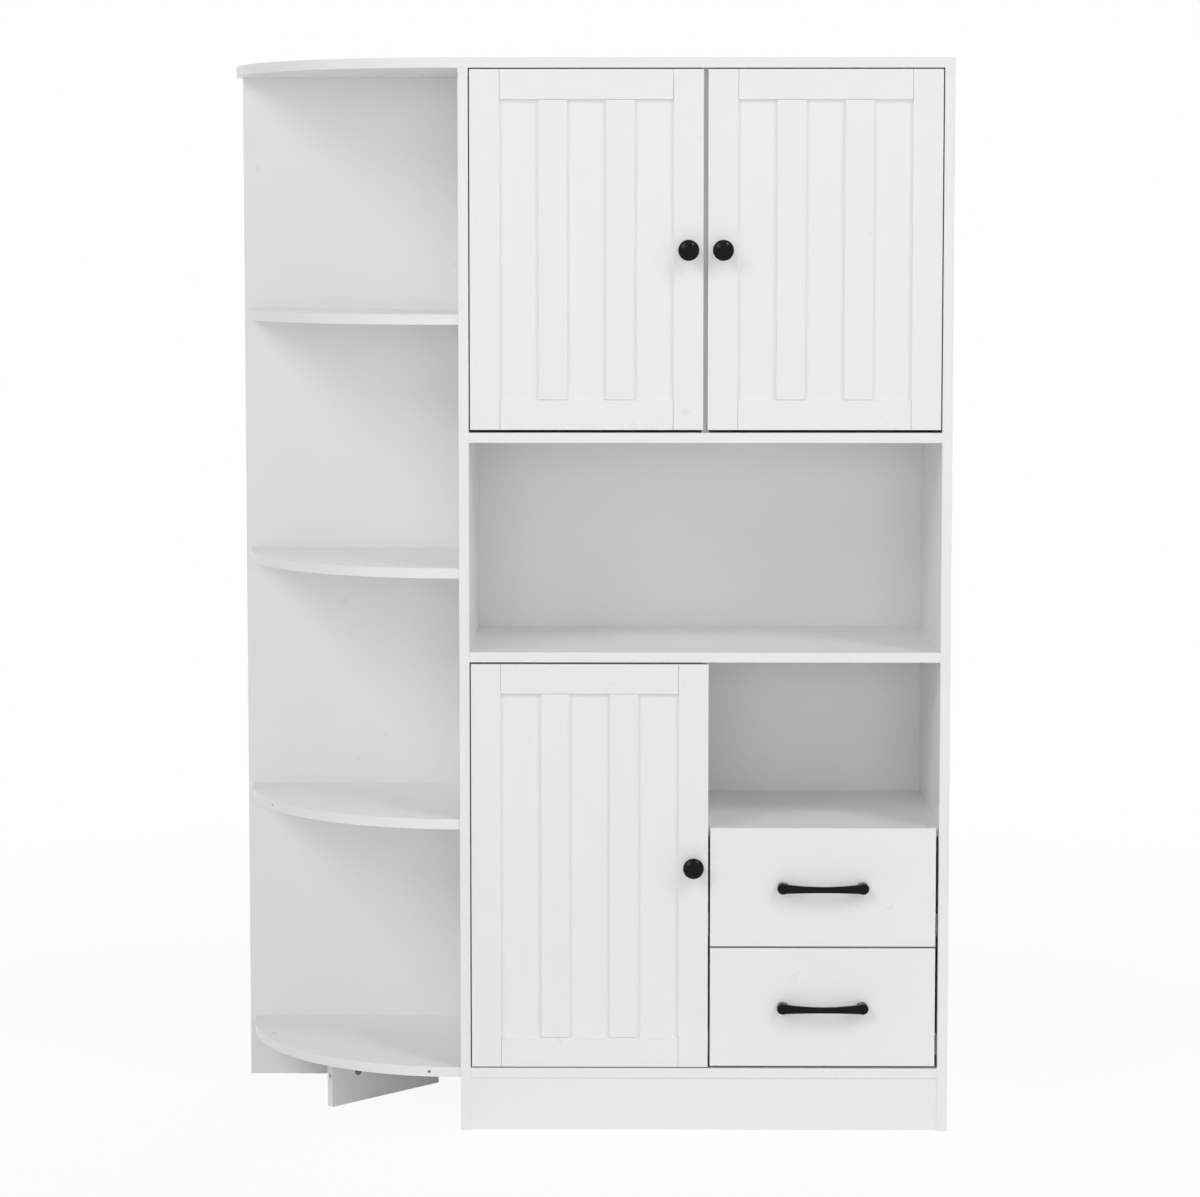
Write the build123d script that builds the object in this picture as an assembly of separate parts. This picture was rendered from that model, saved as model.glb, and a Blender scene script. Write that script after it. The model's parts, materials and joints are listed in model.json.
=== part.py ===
from build123d import *
import os
from math import asin, cos, degrees, radians, sin

# Sizes are in millimetres. X runs right, Y runs back and Z up, from the middle of the footprint on the floor.

# Carcass
overall_height = 1700
cabinet_width = 775
cabinet_depth = 385
board = 16
thin_board = 12
edge_chamfer = 0.5
plinth_height = 85
plinth_setback = 2
plinth_lift = 1
lower_section_height = 651
open_bay_height = 331
niche_height = 264
door_stop_gap = 2

# Back panel in its grooves
back_thickness = 3
back_inset = 12
back_tongue = 6
groove_play = 0.15

# Quarter-round wing. The rims' spare bores go by shelf number, at an angle from straight ahead towards the left.
wing_shelf_count = 4
wing_shelf_setback = 4
wing_back_inset = 10
rim_bore_angles = {3: 60, 4: 8}
rim_bore_radius = 2.7
rim_bore_depth = 10
foot_front_inset = 52
foot_corner_gap = 80
foot_cam_inset = 56
foot_bore_radius = 3.5
foot_bore_depth = 20

# Doors: a base board that carries strips
door_side_gap = 2
door_middle_gap = 7
upper_door_top_gap = 2
upper_door_bottom_gap = 4.5
lower_door_top_gap = 3
lower_door_bottom_gap = 2
door_base = 12
strip_thickness = 5
frame_width = 47
batten_width = 45
batten_count = 2
strip_joint = 0.4

# Drawers
drawer_count = 2
drawer_gap_left = 3.3
drawer_gap_right = 4.5
drawer_gap_between = 3
drawer_gap_below = 4
drawer_front = 16
drawer_box_rise = 14
drawer_box_height = 130
drawer_box_depth = 300
drawer_board = 12
drawer_bottom_thickness = 3
drawer_bottom_rise = 10
drawer_bottom_tongue = 5
drawer_screw_low = 39
drawer_screw_high = 20

# Ball slides, seen in section from the wall towards the drawer
slide_space = 12.7
slide_height = 35
slide_sheet = 1.2
outer_lip = 9.5
inner_lip = 8.6
slide_setback = 4
ball_radius = 2.6
ball_play = 0.06
ball_pitch = 18
balls_in_row = 4
cage_sheet = 0.8
cage_length = 72
cage_start = 118
cage_gap = 1.4
cage_play = 0.15
slide_screw_head = 1.2
slide_screw_length = 9
slide_screw_inset = 50

# Adjustable shelves on pins
shelf_front_setback = 48
shelf_side_play = 1
shelf_rear_play = 2
pin_radius = 2.5
pin_embed = 5
pin_reach = 8
pin_inset = 40
pin_hole_pitch = 32

# Knobs
knob_radius = 16.5
knob_length = 26
knob_base_radius = 8
knob_base_height = 1.5
knob_neck_radius = 5.5
knob_neck_height = 8
knob_flare_height = 14.5
knob_shoulder_radius = 13.6
knob_shoulder_height = 16.2
knob_dome_height = 8.2
knob_edge_round = 4
knob_screw_radius = 2
knob_screw_grip = 9

# Bow handles
handle_hole_spacing = 128
handle_bulb_radius = 8.7
handle_waist = 9.8
handle_reach = 25
handle_end_reach = 15
handle_thickness = 7
handle_foot_inset = 1.7
handle_post_thickness = 16
handle_shoulder_angle = 120
handle_edge_round = 2.5
handle_screw_grip = 9

# Single-joint concealed hinges, measured from the door's hinge edge and back face
hinge_end_distance = 90
cup_radius = 17.5
cup_depth = 11.5
cup_edge = 4
cup_sheet = 0.7
cup_flange = 1.2
cup_ear_width = 23
cup_ear_height = 62
cup_collar = 0.8
cup_screw_spacing = 48
cheek_width = 8
cheek_height = 7
pivot_from_edge = 22.5
pivot_from_back = 8
hinge_pin_radius = 1.25
hinge_pin_length = 22
hinge_eye_radius = 2.5
arm_sheet = 3
arm_width = 10
arm_hook_out = 13
arm_hook_back = 27.5
arm_tail = 44.5
plate_sheet = 3
plate_length = 40
plate_width = 16
plate_ear_width = 14
plate_ear_height = 46
plate_screw_spacing = 32

# Fittings
cam_radius = 7.5
cam_floor = 3.5
cam_offset = 34
bolt_radius = 2.5
bolt_head_radius = 3.2
bolt_head_length = 3
bolt_passage_radius = 3.8
bolt_embed = 9
dowel_radius = 4
thin_dowel_radius = 3
dowel_in_board = 20
dowel_in_panel = 9
fitting_play = 0.05
bore_play = 0.1
cam_front_inset = 50
cam_rear_inset = 50
wing_cam_front_inset = 110
wing_cam_rear_inset = 90
wing_dowel_step = 40
screw_radius = 1.75
screw_head_radius = 3.5
screw_head_height = 2
screw_head_slope = 0.8
screw_length = 11
screw_recess_span = 3.6
screw_recess_width = 0.8
screw_recess_depth = 1.2
slide_screw_recess_depth = 0.7
cam_recess_span = 7
cam_recess_width = 1.5
cam_recess_depth = 1.5

# Places worked out from the sizes
wing_radius = cabinet_depth
front_reach = max(knob_length, handle_reach)
cabinet_left = (wing_radius - cabinet_width) / 2
cabinet_right = cabinet_left + cabinet_width
front_y = (front_reach - cabinet_depth) / 2
rear_y = front_y + cabinet_depth
inner_left = cabinet_left + board
inner_right = cabinet_right - board
divider_x = (inner_left + inner_right) / 2
divider_left = divider_x - thin_board / 2
divider_right = divider_x + thin_board / 2
back_front_y = rear_y - back_inset - back_thickness
wing_back_y = rear_y - board

top_under = overall_height - board
bottom_top = plinth_height + board
lower_shelf_under = bottom_top + lower_section_height
lower_shelf_top = lower_shelf_under + board
upper_shelf_under = lower_shelf_top + open_bay_height
upper_shelf_top = upper_shelf_under + board
niche_top = lower_shelf_under - niche_height

door_thickness = door_base + strip_thickness
door_back_y = front_y + door_thickness
strip_back_y = front_y + strip_thickness
divider_front_y = door_back_y + door_stop_gap

wing_shelf_radius = wing_back_y - front_y - wing_shelf_setback
wing_bay_height = (top_under - bottom_top - (wing_shelf_count - 1) * board) / wing_shelf_count

up = Vector(0, 0, 1)
down = Vector(0, 0, -1)
right = Vector(1, 0, 0)
left = Vector(-1, 0, 0)
back = Vector(0, 1, 0)
front = Vector(0, -1, 0)

pieces = {}
cutters = {}


def block(x_span, y_span, z_span):
    """A box between two X, two Y and two Z values."""
    spans = [sorted(x_span), sorted(y_span), sorted(z_span)]
    middle = [(low + high) / 2 for low, high in spans]
    size = [high - low for low, high in spans]
    return Pos(*middle) * Box(*size)


def rod(start, direction, radius, length):
    """A round bar that starts at a point and runs along a direction."""
    place = Plane(origin=start, z_dir=direction)
    return place * Cylinder(radius, length, align=(Align.CENTER, Align.CENTER, Align.MIN))


def with_soft_front(solid):
    """The solid with its front face's edges eased."""
    face = solid.faces().sort_by(Axis.Y)[0]
    return chamfer(face.edges(), edge_chamfer)


def grown(x_span, y_span, z_span, play):
    """A box that is larger than the spans by the play on every side."""
    spans = [sorted(x_span), sorted(y_span), sorted(z_span)]
    return block(*[(low - play, high + play) for low, high in spans])


def keep(name, *solids):
    """Adds solids to a named piece."""
    pieces.setdefault(name, []).extend(solids)


def cut(name, *solids):
    """Notes solids that are cut from a named piece at the end."""
    cutters.setdefault(name, []).extend(solids)


# Fittings that join two boards

def cam_joint(board_name, panel_name, seat, into, face, thickness=board):
    """A cam in the board and a bolt that it pulls out of the panel. The seat lies on the joint, mid-thickness."""
    mouth = seat - into * cam_offset + face * (thickness / 2)
    depth = thickness - cam_floor
    cam = rod(mouth, face * -1, cam_radius, depth)
    passage_length = cam_offset + bolt_head_length
    passage = rod(seat - into * passage_length, into, bolt_passage_radius, passage_length)
    head = rod(seat - into * (cam_offset + bolt_head_length / 2), into, bolt_head_radius, bolt_head_length)
    shank = rod(seat - into * cam_offset, into, bolt_radius, cam_offset + bolt_embed)
    recess = cross(mouth, face * -1, cam_recess_span, cam_recess_width, cam_recess_depth)
    keep("cam_fittings", cam - passage - recess, head + shank)
    cut(board_name, rod(mouth, face * -1, cam_radius + bore_play, depth + bore_play), passage)
    cut(panel_name, rod(seat, into, bolt_radius + fitting_play, bolt_embed + bore_play))


def dowel_joint(board_name, panel_name, seat, into, radius=dowel_radius):
    """A wooden dowel, partly in the board and partly in the panel."""
    keep("wooden_dowels", rod(seat - into * dowel_in_board, into, radius, dowel_in_board + dowel_in_panel))
    bore = radius + fitting_play
    cut(board_name, rod(seat - into * (dowel_in_board + bore_play), into, bore, dowel_in_board + bore_play))
    cut(panel_name, rod(seat, into, bore, dowel_in_panel + bore_play))


def cross(mouth, into, span, width, depth):
    """The cross that a driver turns, to be cut from a mouth inwards."""
    bar = Box(span, width, depth, align=(Align.CENTER, Align.CENTER, Align.MIN))
    return Plane(origin=mouth, z_dir=into) * (bar + Rot(0, 0, 90) * bar)


def screw(seat, into, length=screw_length, radius=screw_radius):
    """A cross-head screw with a sloping head that rests on the seat."""
    outward = into * -1
    slope = (screw_head_radius, screw_head_radius - screw_head_slope, screw_head_height)
    head = Plane(origin=seat, z_dir=outward) * Cone(*slope, align=(Align.CENTER, Align.CENTER, Align.MIN))
    recess = cross(seat + outward * screw_head_height, into, screw_recess_span, screw_recess_width, screw_recess_depth)
    return head + rod(seat, into, radius, length) - recess


def screw_hole(seat, into, length=screw_length, radius=screw_radius):
    """The hole for a screw's shank."""
    return rod(seat, into, radius + fitting_play, length + bore_play)


# Carcass boards

def make_top_panel():
    rim = CenterArc((cabinet_left, rear_y), wing_radius, 180, 90)
    front_edge = Line((cabinet_left, front_y), (cabinet_right, front_y))
    side_edge = Line((cabinet_right, front_y), (cabinet_right, rear_y))
    rear_edge = Line((cabinet_right, rear_y), (cabinet_left - wing_radius, rear_y))
    outline = make_face([rim, front_edge, side_edge, rear_edge])
    panel = Pos(0, 0, top_under) * extrude(outline, board)
    rims = [panel.faces().sort_by(Axis.Z)[0], panel.faces().sort_by(Axis.Z)[-1]]
    keep("top_panel", chamfer([edge for face in rims for edge in face.edges()], edge_chamfer))


def make_side_panels():
    for name, wall, inward in (("side_panel_left", cabinet_left, right), ("side_panel_right", cabinet_right, left)):
        inner = wall + inward.X * board
        keep(name, with_soft_front(block((wall, inner), (front_y, rear_y), (0, top_under))))
        middle_x = wall + inward.X * board / 2
        for y in (front_y + cam_front_inset, back_front_y - cam_rear_inset):
            cam_joint(name, "top_panel", Vector(middle_x, y, top_under), up, inward)
        dowel_joint(name, "top_panel", Vector(middle_x, divider_middle_y(), top_under), up)


def divider_middle_y():
    """Half-way between the front and rear cams of a full-depth board."""
    return (front_y + cam_front_inset + back_front_y - cam_rear_inset) / 2


def make_full_shelf(name, under):
    """A full-width board between the side panels."""
    shelf = block((inner_left, inner_right), (front_y, back_front_y), (under, under + board))
    keep(name, with_soft_front(shelf))
    middle_z = under + board / 2
    for x, into, panel in ((inner_left, left, "side_panel_left"), (inner_right, right, "side_panel_right")):
        for y in (front_y + cam_front_inset, back_front_y - cam_rear_inset):
            cam_joint(name, panel, Vector(x, y, middle_z), into, down)
        dowel_joint(name, panel, Vector(x, divider_middle_y(), middle_z), into)


def make_divider(name, below, above, z_span):
    """An upright between two boards, set back behind the doors."""
    keep(name, block((divider_left, divider_right), (divider_front_y, back_front_y), z_span))
    for y in (divider_front_y + cam_front_inset, back_front_y - cam_rear_inset):
        dowel_joint(name, below, Vector(divider_x, y, z_span[0]), down, thin_dowel_radius)
        dowel_joint(name, above, Vector(divider_x, y, z_span[1]), up, thin_dowel_radius)


def make_niche_board():
    board_front = front_y + drawer_front + door_stop_gap
    middle_z = niche_top - board / 2
    span = (niche_top - board, niche_top)
    keep("niche_board", block((divider_right, inner_right), (board_front, back_front_y), span))
    for x, into, panel in ((divider_right, left, "divider_lower"), (inner_right, right, "side_panel_right")):
        for y in (board_front + cam_front_inset, back_front_y - cam_rear_inset):
            cam_joint("niche_board", panel, Vector(x, y, middle_z), into, down)


def make_plinth():
    plinth_y = (front_y + plinth_setback, front_y + plinth_setback + board)
    middle_y = sum(plinth_y) / 2
    keep("plinth", block((inner_left, inner_right), plinth_y, (plinth_lift, plinth_height)))
    for x, into, panel in ((inner_left, left, "side_panel_left"), (inner_right, right, "side_panel_right")):
        cam_joint("plinth", panel, Vector(x, middle_y, plinth_height / 2), into, back)
    for x in (inner_left + cam_front_inset, divider_x, inner_right - cam_front_inset):
        dowel_joint("plinth", "bottom_panel", Vector(x, middle_y, plinth_height), up)


def make_back_panel():
    spans = (
        (inner_left - back_tongue, inner_right + back_tongue),
        (back_front_y, back_front_y + back_thickness),
        (plinth_height, top_under),
    )
    keep("back_panel", block(*spans))
    for name in ("side_panel_left", "side_panel_right"):
        groove_floor_z = (spans[2][0] - groove_play, top_under)
        groove_y = (spans[1][0] - groove_play, spans[1][1] + groove_play)
        groove_x = (spans[0][0] - groove_play, spans[0][1] + groove_play)
        cut(name, block(groove_x, groove_y, groove_floor_z))


# Quarter-round wing

def make_wing_back():
    x_span = (cabinet_left - wing_radius + wing_back_inset, cabinet_left)
    keep("wing_back_board", block(x_span, (wing_back_y, rear_y), (0, top_under)))
    middle_y = (wing_back_y + rear_y) / 2
    for x in (x_span[0] + cam_front_inset, x_span[1] - cam_rear_inset):
        cam_joint("wing_back_board", "top_panel", Vector(x, middle_y, top_under), up, back)
    for bay in range(wing_shelf_count):
        z = bottom_top + bay * (wing_bay_height + board) + wing_bay_height / 2
        cam_joint("wing_back_board", "side_panel_left", Vector(cabinet_left, middle_y, z), right, back)


def make_wing_shelf(number):
    """Shelf 1 is the highest. The lowest one is level with the cabinet's bottom panel."""
    under = bottom_top - board + (wing_shelf_count - number) * (wing_bay_height + board)
    name = f"wing_shelf_{number}"
    corner = (cabinet_left, wing_back_y)
    rim = CenterArc(corner, wing_shelf_radius, 180, 90)
    side_edge = Line((cabinet_left, wing_back_y - wing_shelf_radius), corner)
    back_edge = Line(corner, (cabinet_left - wing_shelf_radius, wing_back_y))
    keep(name, Pos(0, 0, under) * extrude(make_face([rim, side_edge, back_edge]), board))
    z = under + board / 2
    shelf_front = wing_back_y - wing_shelf_radius
    front_cam = shelf_front + wing_cam_front_inset
    for y in (front_cam, wing_back_y - wing_cam_rear_inset):
        cam_joint(name, "side_panel_left", Vector(cabinet_left, y, z), right, down)
    dowel_joint(name, "side_panel_left", Vector(cabinet_left, front_cam + wing_dowel_step, z), right)
    tip_cam = cabinet_left - wing_shelf_radius + wing_cam_front_inset
    for x in (tip_cam, cabinet_left - wing_cam_rear_inset):
        cam_joint(name, "wing_back_board", Vector(x, wing_back_y, z), back, down)
    dowel_joint(name, "wing_back_board", Vector(tip_cam + wing_dowel_step, wing_back_y, z), back)
    if number in rim_bore_angles:
        angle = radians(rim_bore_angles[number])
        outward = Vector(-sin(angle), -cos(angle), 0)
        mouth = Vector(*corner, z) + outward * wing_shelf_radius
        cut(name, rod(mouth, outward * -1, rim_bore_radius, rim_bore_depth))


def make_wing_foot():
    """A board on edge under the lowest wing shelf, on the line that halves the corner."""
    outward = Vector(-1, -1, 0).normalized()
    corner = Vector(cabinet_left, wing_back_y, 0)
    start = foot_corner_gap
    end = wing_shelf_radius - foot_front_inset
    face = Vector(1, -1, 0).normalized()
    place = Plane(origin=corner, x_dir=outward, z_dir=up)
    foot = place * block((start, end), (-thin_board / 2, thin_board / 2), (0, plinth_height))
    bore_mouth = corner + outward * end + up * (plinth_height - cam_offset)
    keep("wing_foot", foot - rod(bore_mouth, outward * -1, foot_bore_radius, foot_bore_depth))
    lowest = f"wing_shelf_{wing_shelf_count}"
    for along in (end - foot_cam_inset, start + foot_cam_inset):
        seat = corner + outward * along + up * plinth_height
        cam_joint("wing_foot", lowest, seat, up, face, thin_board)


# Adjustable shelves and their pins

def make_adjustable_shelf(name, left_wall, right_wall, z_span, panels):
    """A shelf half-way up a cupboard, on four pins, with a spare hole above and below each pin."""
    under = (z_span[0] + z_span[1] - board) / 2
    shelf_y = (front_y + shelf_front_setback, back_front_y - shelf_rear_play)
    shelf_x = (left_wall + shelf_side_play, right_wall - shelf_side_play)
    keep(name, with_soft_front(block(shelf_x, shelf_y, (under, under + board))))
    pin_z = under - pin_radius
    for y in (shelf_y[0] + pin_inset, shelf_y[1] - pin_inset):
        for x, into, panel in ((left_wall, left, panels[0]), (right_wall, right, panels[1])):
            keep("shelf_pins", rod(Vector(x, y, pin_z) - into * pin_reach, into, pin_radius, pin_reach + pin_embed))
            for step in (-1, 0, 1):
                seat = Vector(x, y, pin_z + step * pin_hole_pitch)
                cut(panel, rod(seat, into, pin_radius + fitting_play, pin_embed + fitting_play))


# Doors

def make_door_boards(name, x_span, z_span):
    """A base board with stiles, rails and battens on its front."""
    keep(f"{name}_panel", block(x_span, (strip_back_y, door_back_y), z_span))
    strip_y = (front_y, strip_back_y)
    for edge, inward in ((x_span[0], 1), (x_span[1], -1)):
        keep(f"{name}_stiles", with_soft_front(block((edge, edge + inward * frame_width), strip_y, z_span)))
    field_x = (x_span[0] + frame_width, x_span[1] - frame_width)
    rail_x = (field_x[0] + strip_joint, field_x[1] - strip_joint)
    for edge, inward in ((z_span[0], 1), (z_span[1], -1)):
        keep(f"{name}_rails", with_soft_front(block(rail_x, strip_y, (edge, edge + inward * frame_width))))
    bare = (field_x[1] - field_x[0] - batten_count * batten_width) / (batten_count + 1)
    batten_z = (z_span[0] + frame_width + strip_joint, z_span[1] - frame_width - strip_joint)
    for number in range(batten_count):
        start = field_x[0] + bare + number * (bare + batten_width)
        keep(f"{name}_battens", with_soft_front(block((start, start + batten_width), strip_y, batten_z)))


def knob_solid():
    """The knob's turned shape, standing on the plane Z = 0, with the hole for its screw."""
    brim_height = knob_length - knob_dome_height
    face_radius = knob_radius - knob_edge_round
    rise = knob_dome_height - knob_edge_round
    drop = (face_radius ** 2 - rise ** 2) / (2 * rise)
    dome_radius = knob_dome_height + drop
    dome_angle = degrees(asin(face_radius / (dome_radius - knob_edge_round)))
    base_top = (knob_base_radius, knob_base_height)
    flare_start = (knob_base_radius, knob_flare_height)
    profile = [
        Line((0, 0), (knob_base_radius, 0)),
        Line((knob_base_radius, 0), base_top),
        ThreePointArc(base_top, (knob_neck_radius, knob_neck_height), flare_start),
        ThreePointArc(flare_start, (knob_shoulder_radius, knob_shoulder_height), (knob_radius, brim_height)),
        CenterArc((face_radius, brim_height), knob_edge_round, 0, 90 - dome_angle),
        CenterArc((0, brim_height - drop), dome_radius, 90 - dome_angle, dome_angle),
        Line((0, knob_length), (0, 0)),
    ]
    turned = revolve(Plane.XZ * make_face(profile), Axis.Z)
    return turned - rod(Vector(0, 0, 0), up, knob_screw_radius + fitting_play, knob_screw_grip + bore_play)


def make_knob(name, x, z):
    place = Plane(origin=(x, front_y, z), z_dir=(0, -1, 0))
    seat = Vector(x, door_back_y, z)
    reach = door_thickness + knob_screw_grip
    keep(f"{name}_knob", place * knob_solid(), screw(seat, front, reach, knob_screw_radius))
    for part in ("panel", "stiles"):
        cut(f"{name}_{part}", screw_hole(seat, front, door_thickness, knob_screw_radius))


def make_hinge(name, edge, inward, z, wall, wall_panel):
    """One concealed hinge. The arm hooks around the door's edge into the cup, where the pin lies."""
    back_y = door_back_y
    centre_x = edge + inward * (cup_edge + cup_radius)
    pivot = Vector(edge + inward * pivot_from_edge, back_y - pivot_from_back, z)
    make_cup(name, centre_x, back_y, z, pivot)
    hook_x = pivot.X + inward * arm_hook_out
    hook_y = pivot.Y + arm_hook_back
    half = arm_sheet / 2
    arm_z = (z - arm_width / 2, z + arm_width / 2)
    base_x = wall + inward * plate_sheet
    arm = block((pivot.X, hook_x + inward * half), (pivot.Y - half, pivot.Y + half), arm_z)
    arm += block((hook_x - inward * half, hook_x + inward * half), (pivot.Y - half, hook_y + half), arm_z)
    arm += block((base_x, hook_x + inward * half), (hook_y - half, hook_y + half), arm_z)
    arm += block((base_x, base_x + inward * arm_sheet), (hook_y - half, hook_y + arm_tail), arm_z)
    arm += rod(pivot - up * (arm_width / 2), up, hinge_eye_radius, arm_width)
    arm -= rod(pivot - up * arm_width, up, hinge_pin_radius + fitting_play, 2 * arm_width)
    pin = rod(pivot - up * (hinge_pin_length / 2), up, hinge_pin_radius, hinge_pin_length)
    plate_y = (hook_y + half, hook_y + half + plate_length)
    ear_y = sum(plate_y) / 2
    plate = block((wall, base_x), plate_y, (z - plate_width / 2, z + plate_width / 2))
    ears = (z - plate_ear_height / 2, z + plate_ear_height / 2)
    plate += block((wall, base_x), (ear_y - plate_ear_width / 2, ear_y + plate_ear_width / 2), ears)
    for side in (-1, 1):
        seat = Vector(base_x, ear_y, z + side * plate_screw_spacing / 2)
        into = Vector(-inward, 0, 0)
        keep("carcass_screws", screw(seat, into))
        plate -= screw_hole(seat, into)
        cut(wall_panel, screw_hole(seat, into))
    keep("hinge_arms", arm, pin)
    keep("hinge_plates", plate)


def make_cup(name, centre_x, back_y, z, pivot):
    """The pressed cup in the door's back, with its flange, the cheeks that hold the pin, and two screws."""
    mouth = Vector(centre_x, back_y, z)
    shell = rod(mouth, front, cup_radius, cup_depth)
    flange_y = (back_y, back_y + cup_flange)
    x_span = (centre_x - cup_ear_width / 2, centre_x + cup_ear_width / 2)
    shell += block(x_span, flange_y, (z - cup_ear_height / 2, z + cup_ear_height / 2))
    shell += rod(mouth, back, cup_radius + cup_collar, cup_flange)
    inner = cup_radius - cup_sheet
    hollow = rod(mouth + back * cup_flange, front, inner, cup_depth + cup_flange - cup_sheet)
    shell -= hollow
    cheek_x = (pivot.X - cheek_width / 2, pivot.X + cheek_width / 2)
    cheek_y = (back_y - cup_depth + cup_sheet / 2, pivot.Y + cheek_width / 2)
    for side in (-1, 1):
        near = z + side * (arm_width / 2 + cup_sheet)
        shell += block(cheek_x, cheek_y, (near, near + side * cheek_height)) & rod(mouth, front, cup_radius, cup_depth)
    shell -= rod(pivot - up * cup_radius, up, hinge_pin_radius + fitting_play, 2 * cup_radius) & hollow
    for side in (-1, 1):
        seat = Vector(centre_x, back_y + cup_flange, z + side * cup_screw_spacing / 2)
        keep(f"{name}_hinge_cups", screw(seat, front))
        shell -= screw_hole(seat, front)
        cut(f"{name}_panel", screw_hole(seat, front))
    keep(f"{name}_hinge_cups", shell)
    cut(f"{name}_panel", rod(mouth, front, cup_radius + bore_play, cup_depth + bore_play))


def make_door(name, x_span, z_span, hinge_on_left, knob_z):
    make_door_boards(name, x_span, z_span)
    if hinge_on_left:
        edge, inward, wall, panel = x_span[0], 1, inner_left, "side_panel_left"
        knob_x = x_span[1] - frame_width / 2
    else:
        edge, inward, wall, panel = x_span[1], -1, inner_right, "side_panel_right"
        knob_x = x_span[0] + frame_width / 2
    make_knob(name, knob_x, knob_z)
    for z in (z_span[0] + hinge_end_distance, z_span[1] - hinge_end_distance):
        make_hinge(name, edge, inward, z, wall, panel)


# Drawers

def handle_solid():
    """A bow handle with rounded ends, lying along X and standing out along Z."""
    hole_x = handle_hole_spacing / 2
    tip_x = hole_x + handle_bulb_radius
    foot_x = tip_x - handle_foot_inset
    post_x = foot_x - handle_post_thickness
    inner_end = handle_end_reach - handle_thickness / 2
    side_view = make_face([
        Line((-foot_x, 0), (-tip_x, handle_end_reach)),
        ThreePointArc((-tip_x, handle_end_reach), (0, handle_reach), (tip_x, handle_end_reach)),
        Line((tip_x, handle_end_reach), (foot_x, 0)),
        Line((foot_x, 0), (post_x, 0)),
        Line((post_x, 0), (post_x, inner_end)),
        ThreePointArc((post_x, inner_end), (0, handle_reach - handle_thickness), (-post_x, inner_end)),
        Line((-post_x, inner_end), (-post_x, 0)),
        Line((-post_x, 0), (-foot_x, 0)),
    ])
    shoulder_x = hole_x + handle_bulb_radius * cos(radians(handle_shoulder_angle))
    shoulder_z = handle_bulb_radius * sin(radians(handle_shoulder_angle))
    waist_z = handle_waist / 2
    front_view = make_face([
        ThreePointArc((-shoulder_x, shoulder_z), (0, waist_z), (shoulder_x, shoulder_z)),
        ThreePointArc((shoulder_x, shoulder_z), (tip_x, 0), (shoulder_x, -shoulder_z)),
        ThreePointArc((shoulder_x, -shoulder_z), (0, -waist_z), (-shoulder_x, -shoulder_z)),
        ThreePointArc((-shoulder_x, -shoulder_z), (-tip_x, 0), (-shoulder_x, shoulder_z)),
    ])
    bow = extrude(Plane.XZ * side_view, handle_bulb_radius, both=True) & extrude(front_view, handle_reach)
    bow = fillet([edge for edge in bow.edges() if edge.bounding_box().max.Z > handle_edge_round], handle_edge_round)
    for x in (-hole_x, hole_x):
        bow -= rod(Vector(x, 0, 0), up, knob_screw_radius + fitting_play, handle_screw_grip + bore_play)
    return bow


def make_drawer(name, z_span):
    front_x = (divider_right + drawer_gap_left, inner_right - drawer_gap_right)
    front_back_y = front_y + drawer_front
    box_x = (divider_right + slide_space, inner_right - slide_space)
    box_rear = front_back_y + drawer_box_depth
    box_z = (z_span[0] + drawer_box_rise, z_span[0] + drawer_box_rise + drawer_box_height)
    keep(f"{name}_front", with_soft_front(block(front_x, (front_y, front_back_y), z_span)))
    for edge, inward in ((box_x[0], 1), (box_x[1], -1)):
        keep(f"{name}_sides", block((edge, edge + inward * drawer_board), (front_back_y, box_rear), box_z))
    inner_x = (box_x[0] + drawer_board, box_x[1] - drawer_board)
    rear_span = (box_rear - drawer_board, box_rear)
    keep(f"{name}_back", block(inner_x, rear_span, box_z))
    bottom_z = box_z[0] + drawer_bottom_rise
    tongue = drawer_bottom_tongue
    spans = (
        (inner_x[0] - tongue, inner_x[1] + tongue),
        (front_back_y - tongue, rear_span[0] + tongue),
        (bottom_z, bottom_z + drawer_bottom_thickness),
    )
    keep(f"{name}_bottom", block(*spans))
    for part in ("front", "sides", "back"):
        cut(f"{name}_{part}", grown(*spans, groove_play))
    make_drawer_screws(name, box_x, inner_x, front_back_y, rear_span, box_z)
    make_handle(name, sum(front_x) / 2, sum(z_span) / 2, front_back_y)
    make_slides(name, box_x, box_z, front_back_y)


def make_drawer_screws(name, box_x, inner_x, front_back_y, rear_span, box_z):
    """Screws through the sides into the back's ends, and dowel screws from the sides into the front."""
    for z in (box_z[0] + drawer_screw_low, box_z[1] - drawer_screw_high):
        for x, into in ((box_x[0], right), (box_x[1], left)):
            seat = Vector(x, sum(rear_span) / 2, z) + into * screw_head_height
            keep(f"{name}_screws", screw(seat, into, drawer_board + screw_length))
            cut(f"{name}_sides", rod(seat, into * -1, screw_head_radius + bore_play, screw_head_height))
            cut(f"{name}_sides", screw_hole(seat, into, drawer_board))
            cut(f"{name}_back", screw_hole(seat, into, drawer_board + screw_length))
            middle = x + into.X * drawer_board / 2
            stud = Vector(middle, front_back_y, z)
            keep(f"{name}_screws", rod(stud - front * screw_length, front, screw_radius, 2 * screw_length))
            cut(f"{name}_front", screw_hole(stud, front))
            cut(f"{name}_sides", screw_hole(stud, back))


def make_handle(name, x, z, front_back_y):
    place = Plane(origin=(x, front_y, z), x_dir=(1, 0, 0), z_dir=(0, -1, 0))
    keep(f"{name}_handle", place * handle_solid())
    for side in (-1, 1):
        seat = Vector(x + side * handle_hole_spacing / 2, front_back_y, z)
        keep(f"{name}_screws", screw(seat, front, drawer_front + handle_screw_grip, knob_screw_radius))
        cut(f"{name}_front", screw_hole(seat, front, drawer_front, knob_screw_radius))


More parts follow.
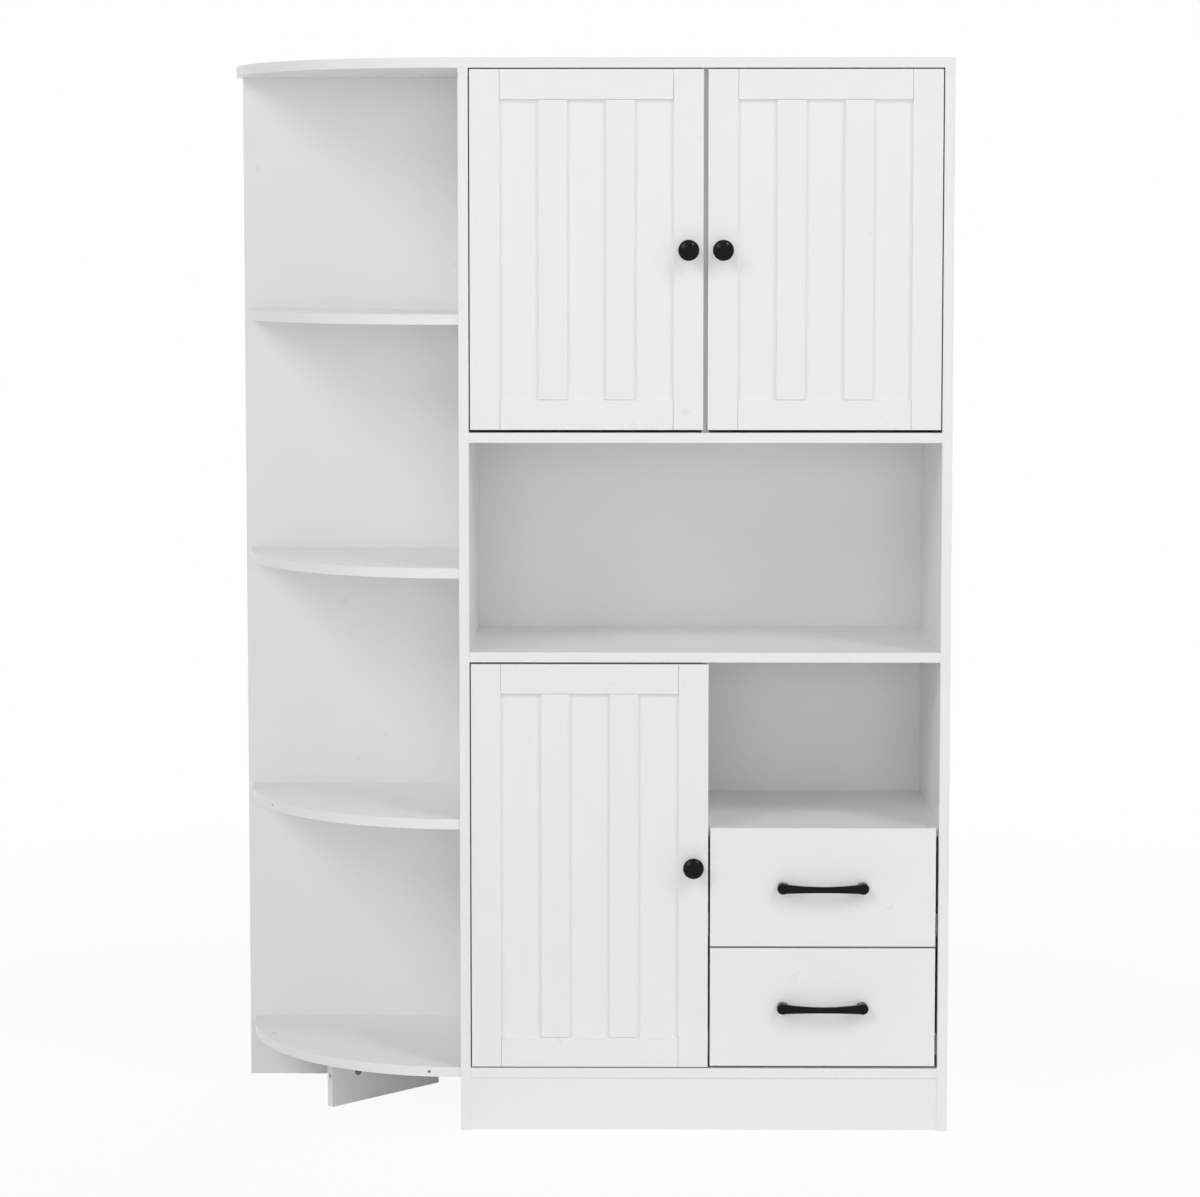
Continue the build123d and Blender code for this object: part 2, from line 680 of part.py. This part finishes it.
def make_slides(name, box_x, box_z, front_back_y):
    """The two ball slides of a drawer: outer rails, inner rails, and cages with their balls."""
    middle_z = box_z[0] + slide_height / 2
    start = front_back_y + slide_setback
    rail_y = (start, start + drawer_box_depth - slide_setback)
    sides = ((divider_right, 1, box_x[0], "divider_lower"), (inner_right, -1, box_x[1], "side_panel_right"))
    for wall, inward, face, panel in sides:
        make_outer_rail(wall, inward, rail_y, middle_z, panel)
        make_inner_rail(name, face, inward, rail_y, middle_z)
        make_ball_cage(name, wall, inward, start + cage_start, middle_z)


def slide_screw_places(web, towards, rail_y, middle_z):
    """Where a rail is screwed on, near its two ends."""
    into = Vector(towards, 0, 0)
    return [(Vector(web, y, middle_z), into) for y in (rail_y[0] + slide_screw_inset, rail_y[1] - slide_screw_inset)]


def slide_screw(seat, into):
    """A screw with a flat head, low enough for the ball cage to pass."""
    head = rod(seat, into * -1, screw_head_radius, slide_screw_head)
    mouth = seat - into * slide_screw_head
    recess = cross(mouth, into, screw_recess_span, screw_recess_width, slide_screw_recess_depth)
    return head + rod(seat, into, screw_radius, slide_screw_length) - recess


def make_outer_rail(wall, inward, rail_y, middle_z, panel):
    half = slide_height / 2
    web = wall + inward * slide_sheet
    rail = block((wall, web), rail_y, (middle_z - half, middle_z + half))
    for side in (-1, 1):
        edge = middle_z + side * half
        rail += block((wall, wall + inward * outer_lip), rail_y, (edge, edge - side * slide_sheet))
    for seat, into in slide_screw_places(web, -inward, rail_y, middle_z):
        keep("carcass_screws", slide_screw(seat, into))
        rail -= screw_hole(seat, into, slide_screw_length)
        cut(panel, screw_hole(seat, into, slide_screw_length))
    keep("slide_outer_rails", rail)


def inner_half_height():
    """Half the inner rail's height, from the ball that runs between it and the outer rail."""
    return slide_height / 2 - slide_sheet - 2 * (ball_radius + ball_play)


def make_inner_rail(name, face, inward, rail_y, middle_z):
    half = inner_half_height()
    web = face - inward * slide_sheet
    rail = block((face, web), rail_y, (middle_z - half, middle_z + half))
    for side in (-1, 1):
        edge = middle_z + side * half
        rail += block((face, face - inward * inner_lip), rail_y, (edge, edge - side * slide_sheet))
    for seat, into in slide_screw_places(web, inward, rail_y, middle_z):
        keep(f"{name}_screws", slide_screw(seat, into))
        rail -= screw_hole(seat, into, slide_screw_length)
        cut(f"{name}_sides", screw_hole(seat, into, slide_screw_length))
    keep(f"{name}_slide_inner_rails", rail)


def make_ball_cage(name, wall, inward, start, middle_z):
    """A folded strip between the rails, with two rows of balls in its flanges."""
    cage_y = (start, start + cage_length)
    ball_z = slide_height / 2 - slide_sheet - ball_play - ball_radius
    web = wall + inward * (slide_sheet + cage_gap)
    tip = wall + inward * (outer_lip - cage_play)
    edge = ball_z + cage_sheet / 2
    cage = block((web, web + inward * cage_sheet), cage_y, (middle_z - edge, middle_z + edge))
    balls = []
    ball_x = (web + inward * cage_sheet + tip) / 2
    first = start + (cage_length - (balls_in_row - 1) * ball_pitch) / 2
    for side in (-1, 1):
        z = middle_z + side * ball_z
        cage += block((web, tip), cage_y, (z - cage_sheet / 2, z + cage_sheet / 2))
        balls += [Pos(ball_x, first + step * ball_pitch, z) for step in range(balls_in_row)]
    for place in balls:
        cage -= place * Sphere(ball_radius + ball_play)
        keep(f"{name}_ball_cages", place * Sphere(ball_radius))
    keep(f"{name}_ball_cages", cage)


# The whole highboard

def make_carcass():
    make_top_panel()
    make_side_panels()
    make_full_shelf("bottom_panel", plinth_height)
    make_full_shelf("fixed_shelf_lower", lower_shelf_under)
    make_full_shelf("fixed_shelf_upper", upper_shelf_under)
    make_divider("divider_lower", "bottom_panel", "fixed_shelf_lower", (bottom_top, lower_shelf_under))
    make_divider("divider_upper", "fixed_shelf_upper", "top_panel", (upper_shelf_top, top_under))
    make_niche_board()
    make_plinth()
    make_back_panel()
    make_wing_back()
    for number in range(1, wing_shelf_count + 1):
        make_wing_shelf(number)
    make_wing_foot()


def make_all_shelves():
    upper_z = (upper_shelf_top, top_under)
    lower_z = (bottom_top, lower_shelf_under)
    upper = "adjustable_shelves_upper"
    make_adjustable_shelf(upper, inner_left, divider_left, upper_z, ("side_panel_left", "divider_upper"))
    make_adjustable_shelf(upper, divider_right, inner_right, upper_z, ("divider_upper", "side_panel_right"))
    lower_panels = ("side_panel_left", "divider_lower")
    make_adjustable_shelf("adjustable_shelf_lower", inner_left, divider_left, lower_z, lower_panels)


def make_all_doors():
    upper_z = (upper_shelf_top + upper_door_bottom_gap, top_under - upper_door_top_gap)
    lower_z = (bottom_top + lower_door_bottom_gap, lower_shelf_under - lower_door_top_gap)
    left_edge = inner_left + door_side_gap
    right_edge = inner_right - door_side_gap
    half_gap = door_middle_gap / 2
    make_door("door_upper_left", (left_edge, divider_x - half_gap), upper_z, True, sum(upper_z) / 2)
    make_door("door_upper_right", (divider_x + half_gap, right_edge), upper_z, False, sum(upper_z) / 2)
    make_door("door_lower", (left_edge, divider_right), lower_z, True, sum(lower_z) / 2)


def make_all_drawers():
    room = niche_top - bottom_top - drawer_gap_below - (drawer_count - 1) * drawer_gap_between
    height = room / drawer_count
    for number in range(drawer_count):
        top = niche_top - number * (height + drawer_gap_between)
        make_drawer(("drawer_top", "drawer_bottom")[number], (top - height, top))


def write_parts():
    os.makedirs("parts", exist_ok=True)
    for name, solids in pieces.items():
        finished = []
        for solid in solids:
            for tool in cutters.get(name, []):
                box = tool.bounding_box()
                if boxes_meet(solid.bounding_box(), box):
                    solid = solid - tool
            finished.extend(solid.solids())
        export_step(Compound(children=finished, label=name), f"parts/{name}.step")
        print(name, len(finished))


def boxes_meet(one, other):
    """True where two boxes share space, so that only cutters near a solid are used on it."""
    return (
        one.min.X < other.max.X and other.min.X < one.max.X
        and one.min.Y < other.max.Y and other.min.Y < one.max.Y
        and one.min.Z < other.max.Z and other.min.Z < one.max.Z
    )


make_carcass()
make_all_shelves()
make_all_doors()
make_all_drawers()
write_parts()
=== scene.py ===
# %% [markdown]
# # A white highboard with a quarter-round wing
#
# The CAD model has already fixed every board, joint and fitting. This lesson dresses it: a camera like
# the photographer's, soft studio light, and a finish for each material of the real piece of furniture.
# The CAD model comes in first, because whatever is added has to sit on it and stay inside its box.

# %% Load the model
import json
import math

import bpy
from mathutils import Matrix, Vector


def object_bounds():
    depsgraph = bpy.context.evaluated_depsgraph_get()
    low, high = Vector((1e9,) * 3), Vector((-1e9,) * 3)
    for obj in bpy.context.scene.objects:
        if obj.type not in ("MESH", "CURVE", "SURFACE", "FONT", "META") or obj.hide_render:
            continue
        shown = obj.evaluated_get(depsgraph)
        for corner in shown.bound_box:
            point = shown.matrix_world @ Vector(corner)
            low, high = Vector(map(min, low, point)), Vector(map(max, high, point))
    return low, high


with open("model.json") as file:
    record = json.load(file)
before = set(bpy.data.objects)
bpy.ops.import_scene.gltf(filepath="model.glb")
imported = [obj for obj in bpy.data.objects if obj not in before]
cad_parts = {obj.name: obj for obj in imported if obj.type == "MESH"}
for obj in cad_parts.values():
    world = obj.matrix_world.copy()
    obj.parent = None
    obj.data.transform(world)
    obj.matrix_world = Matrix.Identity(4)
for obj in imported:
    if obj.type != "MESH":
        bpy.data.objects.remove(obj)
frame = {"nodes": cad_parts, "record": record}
pieces = frame["nodes"]
cad_low, cad_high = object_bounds()

# %% [markdown]
# ## The camera
#
# The photograph was taken from about 5.4 metres, a little right of the highboard's middle and below its
# top. A long lens keeps the uprights nearly parallel. The camera could be set by eye, but here its place
# and direction come from fitting the corners of the boards to the photograph, so that the render can be
# laid over it. The lens shift lifts the picture a little, as the photograph's framing needs.
#
# A camera looks along its own -Z axis, and so does a lamp. One helper works out a direction from two
# angles, and another turns a camera or a lamp to look along a direction.

# %% Place the camera
photo_width = 1200
focal_in_pixels = 3456.1
lift_in_pixels = 80
camera_place = (0.07097, -5.59565, 1.43507)
camera_azimuth, camera_elevation = 0.0081, 0.0838


def way_to(azimuth, elevation):
    """The direction from the highboard to these angles, in radians. Azimuth 0 is in front, pi / 2 right."""
    level = math.cos(elevation)
    return Vector((math.sin(azimuth) * level, -math.cos(azimuth) * level, math.sin(elevation)))


def look_along(thing, direction):
    thing.rotation_euler = direction.to_track_quat("-Z", "Y").to_euler()


lens = bpy.data.cameras.new("camera")
lens.sensor_width = 36
lens.lens = focal_in_pixels * lens.sensor_width / photo_width
lens.shift_y = -lift_in_pixels / photo_width
camera = bpy.data.objects.new("camera", lens)
camera.location = camera_place
look_along(camera, -way_to(camera_azimuth, camera_elevation))
bpy.context.scene.collection.objects.link(camera)
bpy.context.scene.camera = camera
bpy.context.scene.view_settings.view_transform = "Standard"
print(f"lens {lens.lens:.1f} mm")

# %% [markdown]
# ## Nodes as sums
#
# A finish is a small program made of nodes. Its sums could be wired from Math nodes one by one, but that
# hides what they work out. So a class stands for one output of a node, and turns + and * into Math nodes.

# %% A class for outputs
class Wire:
    """One output of a shader node, which can be used in sums."""

    def __init__(self, finish, socket):
        self.finish, self.socket = finish, socket

    def worked(self, operation, *values):
        return self.finish.node("Math", {"operation": operation}, dict(enumerate(values)))

    def __add__(self, other):
        return self.worked("ADD", self, other)

    def __radd__(self, other):
        return self.worked("ADD", other, self)

    def __mul__(self, other):
        return self.worked("MULTIPLY", self, other)

    def __rmul__(self, other):
        return self.worked("MULTIPLY", other, self)

    def over(self, limit):
        """1 where this is greater than the limit, and 0 elsewhere."""
        return self.worked("GREATER_THAN", self, limit)

    def highest(self, other):
        return self.worked("MAXIMUM", self, other)

    def around(self, middle, swing):
        """Stretches 0 to 1 so that it runs from middle - swing to middle + swing."""
        return middle - swing + 2 * swing * self


print("outputs can be used with + and *")

# %% [markdown]
# A second class holds the tree that the nodes are in. Every node comes from one method, which takes its
# kind, then its settings, then the values or links of its sockets. The other methods are the steps that
# several finishes share, so that each finish below reads as a short recipe.

# %% A class for finishes
class Finish:
    """A tree of shader nodes for a material or for the world."""

    def __init__(self, owner):
        self.owner = owner
        owner.use_nodes = True
        self.tree = owner.node_tree
        self.tree.nodes.clear()

    def node(self, kind, settings=None, values=None, output=0):
        """Adds a node: its settings first, then its sockets' values or links. Gives one of its outputs."""
        made = self.tree.nodes.new("ShaderNode" + kind)
        for name, setting in (settings or {}).items():
            setattr(made, name, setting)
        for name, value in (values or {}).items():
            if isinstance(value, Wire):
                self.tree.links.new(value.socket, made.inputs[name])
            else:
                made.inputs[name].default_value = value
        return Wire(self, made.outputs[output]) if made.outputs else None

    def place(self):
        """The point on the piece itself, in metres, so a pattern stays on a door when the door swings."""
        return self.node("TexCoord", output="Object")

    def cloud(self, per_metre, detail=2.0, place=None):
        """Soft noise from 0 to 1, with about this many blotches a metre."""
        values = {"Vector": place or self.place(), "Scale": per_metre, "Detail": detail}
        return self.node("TexNoise", {}, values, "Fac")

    def blend(self, share, one, other):
        """One colour where share is 0, the other where it is 1."""
        # A Mix node has its sockets once for each kind of value, so the ones for colours go by number.
        factor, first_colour, second_colour, mixed_colour = 0, 6, 7, 2
        values = {factor: share, first_colour: one, second_colour: other}
        return self.node("Mix", {"data_type": "RGBA"}, values, mixed_colour)

    def bump(self, height, depth, strength):
        """Raises and sinks the surface's shading by depth metres."""
        return self.node("Bump", {}, {"Strength": strength, "Distance": depth, "Height": height})

    def mixed(self, share, one, other):
        """One surface or background where share is 0, the other where it is 1."""
        return self.node("MixShader", {}, {0: share, 1: one, 2: other})

    def finished(self, **values):
        """Ends the tree in one Principled surface. A name's underscores stand for spaces."""
        named = {name.replace("_", " "): value for name, value in values.items()}
        self.node("OutputMaterial", {}, {"Surface": self.node("BsdfPrincipled", {}, named)})
        return self.owner


print("a finish has", [name for name in vars(Finish) if not name.startswith("_")])

# %% [markdown]
# ## The studio
#
# The photograph is a cut-out on pure white. Its light is soft and comes from nearly everywhere: even the
# back of the open compartment is pale. The world gives this light. A picture of a studio could be wrapped
# round the scene instead, but one plain level needs no file and is quick to tune until the boards don't
# clip. What the camera, a reflection or a see-through ray meets is plain white, like the page.

# %% Light from everywhere
sky_level = 0.28
plain_white = (1, 1, 1, 1)


def looked_at(finish):
    """1 for a ray from the camera, a reflection or a see-through surface, 0 for one that only lights."""
    kinds = ("Camera", "Glossy", "Transmission")
    seen, mirrored, seen_through = [finish.node("LightPath", output=f"Is {kind} Ray") for kind in kinds]
    return seen.highest(mirrored).highest(seen_through)


world = bpy.data.worlds.new("studio")
bpy.context.scene.world = world
sky = Finish(world)
lit = sky.node("Background", {}, {"Color": plain_white, "Strength": sky_level})
shown = sky.node("Background", {}, {"Color": plain_white, "Strength": 1.0})
sky.node("OutputWorld", {}, {"Surface": sky.mixed(looked_at(sky), lit, shown)})
print("sky level", sky_level)

# %% [markdown]
# Large lamps give the direction. On the niche floor of the photograph the edge of the shadow runs back
# and to the left, so the key lamp stands 42 degrees to the right and 46 degrees up. A lamp's size against
# its distance sets how soft a shadow is, and its distance how evenly it lights. So all of them are
# several metres wide and far off, and the key lamp is the smallest, because it draws the shadows of the
# doors' strips. The low one in front reaches into the compartments, the ones at the sides light the
# compartments' sides, and the one at the rear keeps the back from going grey in views from behind.
#
# The black knobs mirror only the key and the left lamp. The right and the low one are left out of
# reflections, because the middle of the knobs stays dark in the photograph.

# %% Soft lamps, each by its direction from the highboard in degrees
middle = (cad_low + cad_high) / 2
far_off, nearer = 16, 11


def soft_lamp(name, azimuth, elevation, distance, sides, watts, mirrored=True):
    """A rectangular lamp that faces the highboard's middle."""
    data = bpy.data.lights.new(name, "AREA")
    data.shape, data.size, data.size_y, data.energy = "RECTANGLE", *sides, watts
    lamp = bpy.data.objects.new(name, data)
    way = way_to(math.radians(azimuth), math.radians(elevation))
    lamp.location = middle + distance * way
    look_along(lamp, -way)
    lamp.visible_glossy = mirrored
    bpy.context.scene.collection.objects.link(lamp)
    print(name, [round(value, 1) for value in lamp.location], watts, "W")


soft_lamp("key_lamp", azimuth=42, elevation=46, distance=far_off, sides=(3, 3), watts=390)
soft_lamp("left_lamp", azimuth=-43, elevation=34, distance=far_off, sides=(7, 7), watts=650)
soft_lamp("right_lamp", azimuth=50, elevation=22, distance=far_off, sides=(6, 6), watts=300, mirrored=False)
soft_lamp("low_lamp", azimuth=0, elevation=4, distance=far_off, sides=(9, 6), watts=420, mirrored=False)
soft_lamp("rear_lamp", azimuth=160, elevation=35, distance=nearer, sides=(5, 5), watts=260)

# %% [markdown]
# ## The floor
#
# The floor has to look as white as the page, yet catch the shadow where the boards stand on it. A white
# floor that only reflects would turn grey far away from the lamps and draw a horizon. So most of what the
# camera sees of it is a plain white glow. Near the highboard a small share stays matt and carries the
# shadow, and three metres on it is all glow, as white as the world behind it. The glow lights nothing,
# because only camera, glossy and transmission rays see it.

# %% Make the floor
def new_finish(name):
    return Finish(bpy.data.materials.new(name))


def make_floor(half_side, glow_near, glow_starts, glow_ends):
    """A square floor. Its glow has the share glow_near up to glow_starts metres, and 1 from glow_ends on."""
    low, high = -half_side, half_side
    corners = [(low, low, 0), (high, low, 0), (high, high, 0), (low, high, 0)]
    mesh = bpy.data.meshes.new("floor")
    mesh.from_pydata(corners, [], [(0, 1, 2, 3)])
    floor = bpy.data.objects.new("floor", mesh)
    bpy.context.scene.collection.objects.link(floor)

    white = new_finish("floor_white")
    distance = white.node("VectorMath", {"operation": "LENGTH"}, {"Vector": white.place()}, "Value")
    reach = {"Value": distance, "From Min": glow_starts, "From Max": glow_ends}
    fade = white.node("MapRange", {"interpolation_type": "SMOOTHSTEP"}, reach)
    share = looked_at(white) * (glow_near + (1 - glow_near) * fade)
    matt = white.node("BsdfDiffuse", {}, {"Color": (0.9, 0.9, 0.9, 1)})
    glow = white.node("Emission", {}, {"Color": plain_white, "Strength": 1.0})
    white.node("OutputMaterial", {}, {"Surface": white.mixed(share, matt, glow)})
    mesh.materials.append(white.owner)
    print("floor", 2 * half_side, "m wide, all glow from", glow_ends, "m on")


make_floor(half_side=60, glow_near=0.93, glow_starts=1.0, glow_ends=3.0)

# %% [markdown]
# ## White melamine
#
# The boards are particle board under a white paper soaked in melamine resin. The press plate leaves a
# fine pearl texture in it, about half a millimetre from crest to crest and only hundredths of a
# millimetre deep, which breaks reflections up into a soft sheen. The tone and the sheen both wander a
# little over a board. A scanned image could give all of this, but it would need a way to lay it round
# every edge. So it is noise on the piece's own coordinates.

# %% The finish of the boards
board_white = (0.91, 0.91, 0.905)
board_roughness = 0.3
pearl_depth = 0.00003


def rgba(colour, shade=1):
    """A colour times its shade, with the fourth value that a colour socket wants."""
    return tuple(shade * part for part in colour) + (1,)


def white_melamine(name, colour, roughness, depth):
    finish = new_finish(name)
    drift = finish.cloud(2.5)
    pearl, ripple = finish.cloud(1900, detail=3.0), finish.cloud(70)
    return finish.finished(
        Base_Color=finish.blend(drift, rgba(colour, shade=0.985), rgba(colour)),
        Roughness=finish.cloud(30).around(roughness, swing=0.05),
        Normal=finish.bump(pearl + ripple * 1.5, depth, strength=0.6),
        Specular_IOR_Level=0.5,
    )


melamine = white_melamine("white_melamine", board_white, board_roughness, pearl_depth)
print("boards:", melamine.name)

# %% [markdown]
# The thin back is fibreboard, painted white only on the side that faces the room. Its rear is bare:
# brown and rougher, with short pressed fibres in every direction. Each side could have a material of its
# own, but then the faces would have to be sorted. The surface's own normal tells the side, so one
# material does both.

# %% The finish of the thin back
dark_fibre, light_fibre = (0.2, 0.115, 0.055), (0.38, 0.25, 0.14)


def thin_back(name, colour):
    finish = new_finish(name)
    towards_rear = finish.node("SeparateXYZ", {}, {"Vector": finish.node("TexCoord", output="Normal")}, "Y")
    rear = towards_rear.over(0.5)
    fibres, patches = finish.cloud(700, detail=6.0), finish.cloud(18, detail=4.0)
    brown = finish.blend(fibres * 0.6 + patches * 0.4, rgba(dark_fibre), rgba(light_fibre))
    return finish.finished(
        Base_Color=finish.blend(rear, rgba(colour), brown),
        Roughness=0.45 + 0.3 * rear,
        Normal=finish.bump(fibres * (0.3 + 0.7 * rear), depth=0.00008, strength=0.6),
        Specular_IOR_Level=0.35,
    )


back_finish = thin_back("painted_fibreboard", board_white)
print("thin back:", back_finish.name)

# %% [markdown]
# ## Black powder coat
#
# The knobs and handles are cast zinc under black powder, which melts into a skin with fine orange peel.
# The peel could be carved into the mesh, but it is less than a millimetre from crest to crest and
# hundredths of a millimetre deep, so a bump in the shading is enough. The skin is nearly black and
# reflects little, so the two lamps show in it as small, dim highlights.

# %% The finish of the knobs and handles
deep_black, paler_black = (0.002, 0.002, 0.0022), (0.004, 0.004, 0.0044)


def powder_coat(name):
    finish = new_finish(name)
    return finish.finished(
        Base_Color=finish.blend(finish.cloud(90), rgba(deep_black), rgba(paler_black)),
        Roughness=finish.cloud(160).around(0.2, swing=0.03),
        Normal=finish.bump(finish.cloud(1400), depth=0.00004, strength=0.5),
        Specular_IOR_Level=0.15,
    )


black_coat = powder_coat("black_powder_coat")
print("knobs and handles:", black_coat.name)

# %% [markdown]
# ## Plated steel and cast zinc
#
# The hinges and shelf pins are nickel plated, the screws and slide rails zinc plated, the ball cages as
# bright as the ground steel of their balls, and the cam fittings cast zinc, which is darker and duller.
# Each could have a recipe of its own, but metals differ in colour and roughness more than in anything
# else, so one function makes them all. A faint smear in tone and gloss keeps them from looking like
# mirrors.

# %% The finishes of the fittings
def metal(name, colour, roughness):
    finish = new_finish(name)
    smear = finish.cloud(140, detail=3.0)
    return finish.finished(
        Base_Color=finish.blend(smear, rgba(colour, shade=0.86), rgba(colour)),
        Metallic=1.0,
        Roughness=smear.around(roughness, swing=0.06),
        Normal=finish.bump(finish.cloud(2600), depth=0.00001, strength=0.5),
    )


nickel_plated = metal("nickel_plated_steel", colour=(0.62, 0.60, 0.57), roughness=0.26)
zinc_plated = metal("zinc_plated_steel", colour=(0.55, 0.57, 0.60), roughness=0.38)
ground_steel = metal("ground_steel", colour=(0.66, 0.66, 0.66), roughness=0.2)
cast_zinc = metal("cast_zinc", colour=(0.24, 0.24, 0.245), roughness=0.5)
print("fittings:", [finish.name for finish in (nickel_plated, zinc_plated, ground_steel, cast_zinc)])

# %% [markdown]
# ## Bare beech
#
# The dowels in the board joints are bare beech. A texture of rings could give its grain, but a dowel a
# few millimetres thick shows only short streaks, so noise that is stretched along X is enough. The dowels
# in the ends of the long boards lie that way. The others get the same, because all of them are hidden in
# their bores.

# %% The finish of the dowels
dark_grain, light_grain = (0.40, 0.25, 0.14), (0.68, 0.50, 0.33)
stretched_along_x = (0.2, 1.0, 1.0)


def beech(name):
    finish = new_finish(name)
    long_way = finish.node("Mapping", {}, {"Vector": finish.place(), "Scale": stretched_along_x})
    grain = finish.cloud(520, detail=4.0, place=long_way)
    return finish.finished(
        Base_Color=finish.blend(grain, rgba(dark_grain), rgba(light_grain)),
        Roughness=grain.around(0.65, swing=0.05),
        Normal=finish.bump(grain, depth=0.00005, strength=0.5),
    )


bare_beech = beech("bare_beech")
print("dowels:", bare_beech.name)

# %% [markdown]
# ## Which piece gets which finish
#
# The packed record says for each piece which material slot it has. The pieces could be dressed one by
# one, but a table from slot to finish does it in one loop. Two pieces then get a finish that differs from
# their slot's: the thin back, whose slot is the boards', and the cam fittings, whose slot is plated zinc.

# %% Hand out the finishes
finish_of_slot = {
    "white_board": melamine,
    "black_metal": black_coat,
    "nickel_steel": nickel_plated,
    "zinc_steel": zinc_plated,
    "bearing_steel": ground_steel,
    "beech": bare_beech,
}


def dress(piece, finish):
    piece.data.materials.clear()
    piece.data.materials.append(finish)


for part in frame["record"]["subparts"]:
    dress(pieces[part["node"]], finish_of_slot[part["material_slot"]])
dress(pieces["back_panel"], back_finish)
dress(pieces["cam_fittings"], cast_zinc)
print({slot: finish.name for slot, finish in finish_of_slot.items()})

# %% [markdown]
# ## The end
#
# The script ends here, with every piece dressed.
